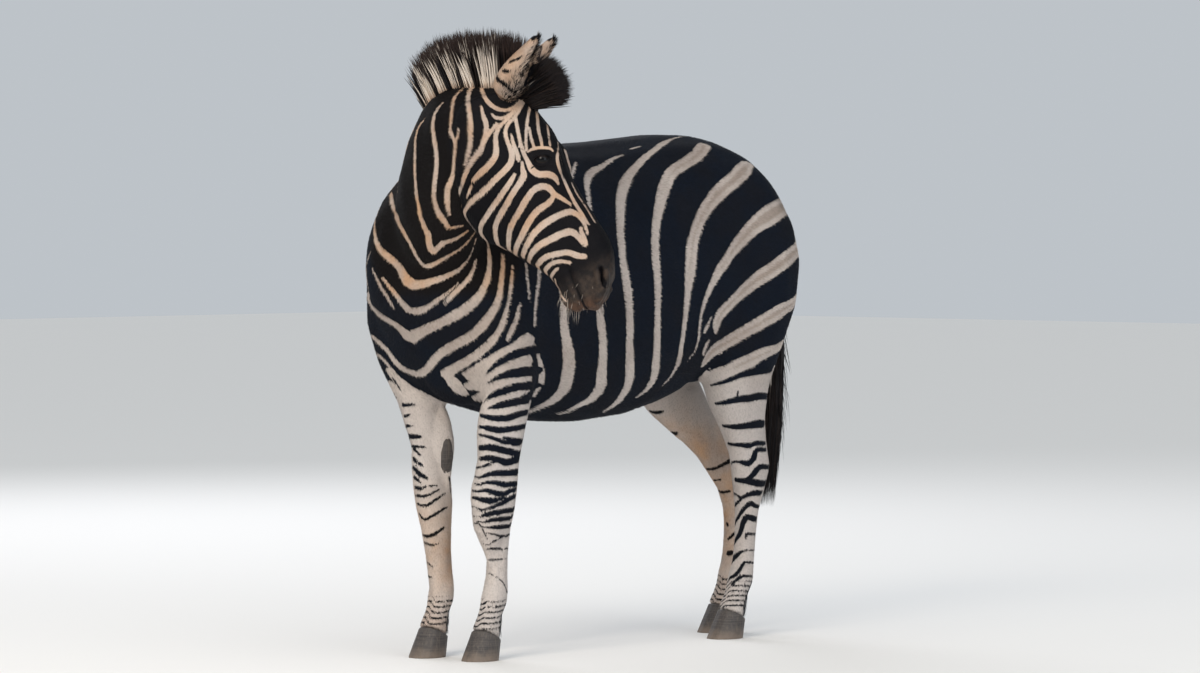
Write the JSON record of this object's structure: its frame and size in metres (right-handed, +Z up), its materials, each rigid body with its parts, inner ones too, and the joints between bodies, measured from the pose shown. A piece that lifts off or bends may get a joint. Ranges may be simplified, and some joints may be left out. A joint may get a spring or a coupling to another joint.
{
  "type": "zebra",
  "caption": "Life-size standing plains zebra, neck turned to look back along its left side, as a still animal model.",
  "frame": {"origin": "on the ground under the middle of the animal's bounds", "axes": "+Z up, the head end of the trunk towards -X, the animal's left side towards -Y"},
  "size_m": [1.5402, 0.9384, 1.5795],
  "materials": {
    "coat": "short flat hair, striped black and white",
    "dark_hair": "stiff upright hair",
    "hoof": "horn",
    "eye": "wet and dark"
  },
  "bodies": {
    "root": {"head": "coat", "neck": "coat", "trunk": "coat", "leg_front_left": "coat", "leg_front_right": "coat", "leg_hind_left": "coat", "leg_hind_right": "coat", "ear_left": "coat", "ear_right": "coat", "tail": "coat", "mane": "dark_hair", "forelock": "dark_hair", "tail_switch": "dark_hair", "hoof_front_left": "hoof", "hoof_front_right": "hoof", "hoof_hind_left": "hoof", "hoof_hind_right": "hoof", "eye_left": "eye", "eye_right": "eye"}
  },
  "joints": []
}
